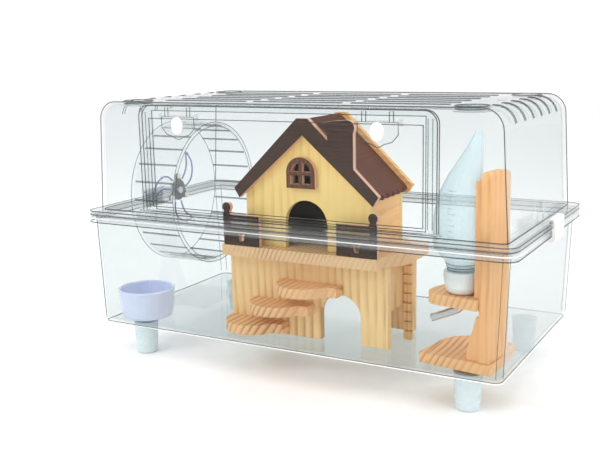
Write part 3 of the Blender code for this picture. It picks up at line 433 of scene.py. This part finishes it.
for finish, names in FINISH_OF.items():
    for name in names:
        piece = nodes[name]
        piece.data.materials.clear()
        piece.data.materials.append(finish)
for width, names in EASED.items():
    for name in names:
        ease = nodes[name].modifiers.new("eased_edges", "BEVEL")
        ease.width = width
        ease.segments = 2
        ease.limit_method = "ANGLE"
        ease.angle_limit = math.radians(40)
        ease.use_clamp_overlap = True


# ---- added pieces ----
SIDES = (-1, 1)
CORNERS = [(sx, sy) for sx in SIDES for sy in SIDES]
RIM = (high("tub").x, high("tub").y)  # half sizes of the tub's rim and the lid's flange
RIM_CORNER = 0.0130
WALL_TOP = (0.2320, 0.1195)  # half sizes of the tub's wall under its rim
WALL_FOOT = (0.2275, 0.1190)  # the same at its foot
WALL_CORNER = 0.0085
LID_FOOT = (0.2268, 0.1090)  # half sizes of the lid's walls at their foot
LID_HEAD = 0.2215  # half length of the lid where its ends begin to round over
LID_LOW = TUB_RIM + 0.0038  # the foot of the lid's walls
ROUNDING = 0.0200
ROOF_LINE = LID_TOP - 0.0006  # the height of the lines on the roof
DOORWAY_HALF, DOORWAY_LOW, DOORWAY_HIGH = 0.1515, TUB_FLOOR + 0.1310, TUB_FLOOR + 0.2345
STACK_SPOT = (0.1860, 0.0870)
ROOF_ROWS = [0.0285 * (i - 2.5) for i in range(6)]
ROOF_VENTS = ((-0.160, -0.060), (-0.050, 0.050), (0.060, 0.160))
SLOT_HALF = 0.0018
DOOR_LOW = TUB_FLOOR + 0.1290
DOOR_FACE, DOOR_BACK = -0.1145, -0.1093
LATCH_HALF = 0.0200
LATCH_HIGH = TUB_FLOOR + 0.2295
LATCH_FACE = -0.1205
RUNGS = 24
STAND = Vector((0.1810, -0.0740, 0))
STAND_TURN = Matrix.Rotation(math.radians(-8), 3, "Z")
BOTTLE = Vector((-0.0007, -0.0124, 0))  # its axis, from the stand's own origin


def mesh_of(name, bm):
    mesh = bpy.data.meshes.new(name)
    bm.to_mesh(mesh)
    bm.free()
    return mesh


def add(name, data, finish, body):
    """One piece, a mesh or a curve, that rides on a body."""
    data.materials.append(finish)
    piece = bpy.data.objects.new(name, data)
    scene.collection.objects.link(piece)
    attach(piece, body)


def beads(name, lines, radius, finish, body, sides=2):
    """Moulded beads: one curve of thin round lines. Each line is (points, closed)."""
    curve = bpy.data.curves.new(name, "CURVE")
    curve.dimensions = "3D"
    curve.bevel_depth = radius
    curve.bevel_resolution = sides
    curve.use_fill_caps = True
    for points, closed in lines:
        spline = curve.splines.new("POLY")
        spline.points.add(len(points) - 1)
        for point, place in zip(spline.points, points):
            point.co = (*place, 1)
        spline.use_cyclic_u = closed
    add(name, curve, finish, body)


def arc(centre, radius, start, end, steps=8):
    """Points along an arc, in degrees."""
    turns = [math.radians(start + (end - start) * i / steps) for i in range(steps + 1)]
    return [(centre[0] + radius * math.cos(a), centre[1] + radius * math.sin(a)) for a in turns]


def level_ring(half, corner, height, inset=0.0):
    """A level rounded rectangle about the origin. half is its half sizes, which inset makes smaller."""
    half_x, half_y = half[0] - inset, half[1] - inset
    points = []
    for turn, (sx, sy) in enumerate(((1, 1), (-1, 1), (-1, -1), (1, -1))):
        centre = (sx * (half_x - corner), sy * (half_y - corner))
        points += [(x, y, height) for x, y in arc(centre, corner, 90 * turn, 90 * turn + 90, 6)]
    return points


def tub_beads():
    """The beads round the tub's rim and foot, two lines up each of its corners, and two painted highlights.
    """
    rim = [
        (level_ring(RIM, RIM_CORNER, SKIRT_LOW), True),
        (level_ring(RIM, RIM_CORNER - 0.0003, TUB_RIM - 0.0004, inset=0.0003), True),
    ]
    beads("tub_rim_beads", rim, 0.00055, dark_line, "cage")
    walls = [
        (level_ring(WALL_TOP, WALL_CORNER, TUB_RIM - 0.0026), True),
        (level_ring(WALL_FOOT, 0.0070, TUB_FLOOR + 0.0016, inset=0.0018), True),
    ]
    for sx, sy in CORNERS:
        for turn in (20, 70):
            a = math.radians(turn)
            points = []
            for half, height in ((WALL_FOOT, TUB_FLOOR + 0.0060), (WALL_TOP, TUB_RIM - 0.0030)):
                x = sx * (half[0] - WALL_CORNER + WALL_CORNER * math.cos(a))
                y = sy * (half[1] - WALL_CORNER + WALL_CORNER * math.sin(a))
                points.append((x, y, height))
            walls.append((points, False))
    beads("tub_wall_lines", walls, 0.00042, line_clear, "cage")
    # painted highlights: pale beads along the foot and under the rim, where light glints on the tub's edges
    bright = [
        (level_ring(WALL_FOOT, 0.0075, TUB_FLOOR + 0.0008, inset=0.0012), True),
        (level_ring(RIM, RIM_CORNER + 0.0001, TUB_RIM - 0.0042, inset=-0.0001), True),
    ]
    beads("tub_painted_highlights", bright, 0.00055, painted_highlight_line, "cage")


def lid_profile(y):
    """The lid's outline at one of its long faces: up one end, along the roof, and down the other end."""
    right = arc((LID_HEAD - ROUNDING, ROOF_LINE - ROUNDING), ROUNDING, 0, 90)
    points = [(LID_FOOT[0], LID_LOW)] + right
    points += [(-x, z) for x, z in reversed(right)] + [(-LID_FOOT[0], LID_LOW)]
    return [(x, y, z) for x, z in points]


def lid_beads():
    """The beads round the lid's flange, walls and doorway, its stacking rings and the edges of its vents."""
    flange = [(level_ring(RIM, 0.0126, LID_LOW - 0.0003, inset=0.0004), True)]
    beads("lid_rim_bead", flange, 0.00055, dark_line, "lid")
    edges = [(level_ring(LID_FOOT, 0.0060, LID_LOW + 0.0003), True)]
    edges += [(lid_profile(sy * (LID_FOOT[1] - 0.0008)), False) for sy in SIDES]
    doorway = [(-DOORWAY_HALF, DOORWAY_LOW), (DOORWAY_HALF, DOORWAY_LOW)]
    doorway += [(-x, DOORWAY_HIGH) for x, _ in doorway]
    edges.append(([(x, -LID_FOOT[1], z) for x, z in doorway], True))
    beads("lid_edge_lines", edges, 0.00055, dark_line, "lid")
    rings = []
    for sx, sy in CORNERS:
        for radius, depth in ((0.0157, 0.0003), (0.0153, 0.0032)):
            circle = arc((sx * STACK_SPOT[0], sy * STACK_SPOT[1]), radius, 0, 345, 23)
            rings.append(([(x, y, LID_TOP - depth) for x, y in circle], True))
    beads("stacking_rings", rings, 0.00045, dark_line, "lid")
    bow = [(0.1990, ROOF_LINE)] + arc((LID_HEAD - ROUNDING, ROOF_LINE - ROUNDING), ROUNDING, 90, 12)
    slots, vents = [], []
    for row in ROOF_ROWS:
        for sx, side in CORNERS:
            slots.append(([(sx * x, row + side * SLOT_HALF, z) for x, z in bow], False))
        for start, end in ROOF_VENTS:
            for side in SIDES:
                y = row + side * SLOT_HALF
                vents.append(([(start, y, ROOF_LINE), (end, y, ROOF_LINE)], False))
    beads("end_slot_edges", slots, 0.00040, dark_line, "lid")
    beads("roof_vent_edges", vents, 0.00040, line_clear, "lid")


def door_beads():
    """The door's outline on both faces, its inner frame, and the grooves down its posts."""
    half, top = high("door").x, high("door").z
    corner, post = 0.0120, 0.0130
    outline = [(half, DOOR_LOW)] + arc((half - corner, top - corner), corner, 0, 90, 6)
    outline += [(-x, z) for x, z in reversed(outline)]
    inner = [(half - post, TUB_FLOOR + 0.1350), (half - post, TUB_FLOOR + 0.2270)]
    inner += [(-x, z) for x, z in reversed(inner)]
    lines = []
    for shape, y in ((outline, DOOR_FACE), (outline, DOOR_BACK), (inner, DOOR_FACE)):
        lines.append(([(x, y, z) for x, z in shape], True))
    beads("door_frame_lines", lines, 0.00058, dark_line, "door")
    grooves = []
    for inset in (0.0042, 0.0086):
        for sx in SIDES:
            x = sx * (half - inset)
            grooves.append(([(x, DOOR_FACE, DOOR_LOW + 0.0050), (x, DOOR_FACE, top - 0.0070)], False))
    beads("door_post_grooves", grooves, 0.00048, line_clear, "door")


def latch_beads():
    """The outline of each latch's shield, and the edges of its two arms."""
    shoulder, chin = LATCH_HIGH - 0.0110, LATCH_HIGH - 0.0175
    taper = LATCH_HALF * 0.72
    for side in ("left", "right"):
        x = middle(f"latch_flap_{side}").x
        shield = [(x - LATCH_HALF, LATCH_HIGH), (x - LATCH_HALF, shoulder), (x - taper, chin)]
        shield += arc((x, LATCH_HIGH - 0.0145), 0.0080, 225, 315, 5)
        shield += [(x + taper, chin), (x + LATCH_HALF, shoulder), (x + LATCH_HALF, LATCH_HIGH)]
        lines = [([(a, LATCH_FACE, b) for a, b in shield], True)]
        for arm in (-0.0135, 0.0135):
            for edge in (-0.0020, 0.0020):
                foot = (x + arm + edge, LATCH_FACE, LATCH_HIGH)
                tip = (x + arm + edge, LATCH_FACE, TUB_FLOOR + 0.2388)
                lines.append(([foot, tip], False))
        beads(f"latch_lines_{side}", lines, 0.00042, dark_line, f"latch_{side}")


def wheel_rungs():
    """Low rounded rungs across the drum's inner wall."""
    inner = WHEEL_RADIUS - 0.0029
    section = ((-0.0011, 0.0), (-0.0008, 0.0010), (0.0, 0.0015), (0.0008, 0.0010), (0.0011, 0.0))
    bm = bmesh.new()
    for i in range(RUNGS):
        a = 2 * math.pi * i / RUNGS
        out = Vector((0, math.cos(a), math.sin(a)))
        along = Vector((0, -math.sin(a), math.cos(a)))
        ends = []
        for x in (WHEEL_CLOSED + 0.0030, WHEEL_OPEN - 0.0034):
            centre = WHEEL + Vector((x, 0, 0))
            ends.append([bm.verts.new(centre + along * t + out * (inner - r)) for t, r in section])
        for j in range(len(section)):
            k = (j + 1) % len(section)
            bm.faces.new((ends[0][j], ends[0][k], ends[1][k], ends[1][j]))
        bm.faces.new(ends[0][::-1])
        bm.faces.new(ends[1])
    bmesh.ops.recalc_face_normals(bm, faces=bm.faces)
    add("wheel_rungs", mesh_of("wheel_rungs", bm), line_clear, "wheel")


def wheel_rims():
    """Two beads round the drum's open side and one round its closed side."""
    open_side, closed_side = WHEEL_OPEN - 0.0002, WHEEL_CLOSED + 0.0002
    rings = []
    for x, inset in ((open_side, 0.0004), (open_side, 0.0050), (closed_side, 0.0004)):
        circle = arc((WHEEL.y, WHEEL.z), WHEEL_RADIUS - inset, 0, 357, 119)
        rings.append(([(x, y, z) for y, z in circle], True))
    beads("wheel_rim_beads", rings, 0.00042, line_clear, "wheel")


def wheel_arms():
    """Three curved arms on the drum's closed side, each a rib up one edge and back down the other."""
    arms = []
    x = WHEEL_CLOSED + 0.0031
    for i in range(3):
        sides = ([], [])
        for j in range(9):
            t = j / 8
            radius = 0.0150 + 0.0310 * t
            bend = math.radians(30 + 120 * i + 34 * t * t)
            half = math.radians(20 * (1 - t) ** 0.5 + 1.0)
            for side, turn in zip(sides, (bend - half, bend + half)):
                side.append((x, WHEEL.y + radius * math.cos(turn), WHEEL.z + radius * math.sin(turn)))
        arms.append((sides[0] + sides[1][::-1], False))
    beads("wheel_arm_ribs", arms, 0.00100, arm_clear, "wheel")


def at_stand(x, y, z):
    """A point given in the bottle stand's own turned frame."""
    return tuple(STAND + STAND_TURN @ Vector((x, y, z)))


def bottle_graduations():
    """Nine plain lines up the bottle, every other one shorter."""
    lines = []
    for i in range(9):
        z = TUB_FLOOR + 0.1270 + 0.0052 * i
        radius = 0.0186 - 0.00002 * i * i
        sweep = 24.0 if i % 2 == 0 else 15.36
        points = []
        for j in range(6):
            a = math.radians(250 + sweep * j / 5)
            x, y = 1.02 * radius * math.cos(a), radius * math.sin(a)
            points.append(at_stand(BOTTLE.x + x, BOTTLE.y + y, z))
        lines.append((points, False))
    beads("bottle_graduations", lines, 0.00022, graduation, "cage", 1)


def bottle_edge_highlights():
    """Painted highlights: a pale bead up each side of the bottle, along its own skin in its middle plane."""
    body = nodes["bottle_body"]
    levels = {}
    for vertex in body.data.vertices:
        p = STAND_TURN.transposed() @ (body.matrix_world @ vertex.co - STAND)
        if abs(p.y - BOTTLE.y) < 0.0002 and p.z > TUB_FLOOR + 0.1040:
            levels.setdefault(round(p.z, 4), []).append(p.x)
    highlight_lines = []
    for side in (min, max):
        highlight_lines.append(([at_stand(side(xs), BOTTLE.y, z) for z, xs in sorted(levels.items())], False))
    beads("bottle_edge_highlights", highlight_lines, 0.00050, painted_highlight_line, "cage")


def bottle_neck():
    """Three rings round the bottle's neck, and the knurling round its cap."""
    centre = STAND + STAND_TURN @ BOTTLE
    rings = []
    for height, radius in ((0.0950, 0.0138), (0.0975, 0.0145), (0.1008, 0.0153)):
        circle = arc(centre, radius, 0, 350, 35)
        rings.append(([(x, y, TUB_FLOOR + height) for x, y in circle], True))
    beads("bottle_neck_rings", rings, 0.00050, fine_line, "cage")
    ribs = []
    for x, y in arc(centre, 0.0169, 0, 350, 35):
        ribs.append(([(x, y, TUB_FLOOR + 0.0862), (x, y, TUB_FLOOR + 0.0925)], False))
    beads("cap_knurling", ribs, 0.00030, white_plastic, "cage", 1)


tub_beads()
lid_beads()
door_beads()
latch_beads()
wheel_rungs()
wheel_rims()
wheel_arms()
bottle_graduations()
bottle_edge_highlights()
bottle_neck()


# ---- floor, light and camera ----
def floor():
    """A wide floor, just under the feet."""
    bm = bmesh.new()
    bmesh.ops.create_grid(bm, x_segments=4, y_segments=4, size=4.0)
    mesh = mesh_of("floor", bm)
    mesh.materials.append(floor_paint)
    made = bpy.data.objects.new("floor", mesh)
    made.location.z = cad_box[0][2] - 0.0002
    scene.collection.objects.link(made)


def area_light(name, place, target, size, power, colour=(1, 1, 1)):
    light = bpy.data.lights.new(name, "AREA")
    light.shape = "RECTANGLE"
    light.size, light.size_y = size
    light.energy = power
    light.color = colour
    lamp = bpy.data.objects.new(name, light)
    lamp.location = place
    lamp.rotation_euler = (Vector(target) - Vector(place)).to_track_quat("-Z", "Y").to_euler()
    scene.collection.objects.link(lamp)


def studio():
    """White surroundings and three soft lights. Some lines of sight cross more than 20 clear faces."""
    world = bpy.data.worlds.new("studio")
    world.use_nodes = True
    background = world.node_tree.nodes["Background"]
    background.inputs["Color"].default_value = (1.0, 1.0, 1.0, 1)
    background.inputs["Strength"].default_value = 1.06
    scene.world = world
    area_light("key", (-0.9, -1.3, 1.5), (0, 0, 0.12), (0.7, 0.7), 12, (1.0, 0.97, 0.93))
    area_light("side", (1.5, -0.5, 0.9), (0, 0, 0.14), (0.5, 0.7), 6.5, (1.0, 0.98, 0.95))
    area_light("top", (0.1, 0.5, 1.6), (0, 0, 0.15), (1.2, 0.6), 4.5)
    scene.view_settings.view_transform = "Standard"
    scene.cycles.transparent_max_bounces = 48


def camera():
    """The view the object is shown from: above its roof, in front of it and beyond its right end."""
    place = (0.4473, -0.8545, 0.3339)
    yaw, pitch, roll = 0.5048, -0.1999, -0.0200
    forward = Vector((-math.sin(yaw) * math.cos(pitch), math.cos(yaw) * math.cos(pitch), math.sin(pitch)))
    right = Vector((math.cos(yaw), math.sin(yaw), 0))
    upward = right.cross(forward)
    right, upward = (
        math.cos(roll) * right + math.sin(roll) * upward,
        math.cos(roll) * upward - math.sin(roll) * right,
    )
    eye = bpy.data.cameras.new("camera")
    eye.lens = 54.34
    eye.shift_x, eye.shift_y = -0.0202, 0.0052
    eye.clip_start = 0.01
    made = bpy.data.objects.new("camera", eye)
    pose = Matrix((right, upward, -forward)).transposed().to_4x4()
    pose.translation = place
    made.matrix_world = pose
    scene.collection.objects.link(made)
    scene.camera = made


floor()
studio()
camera()
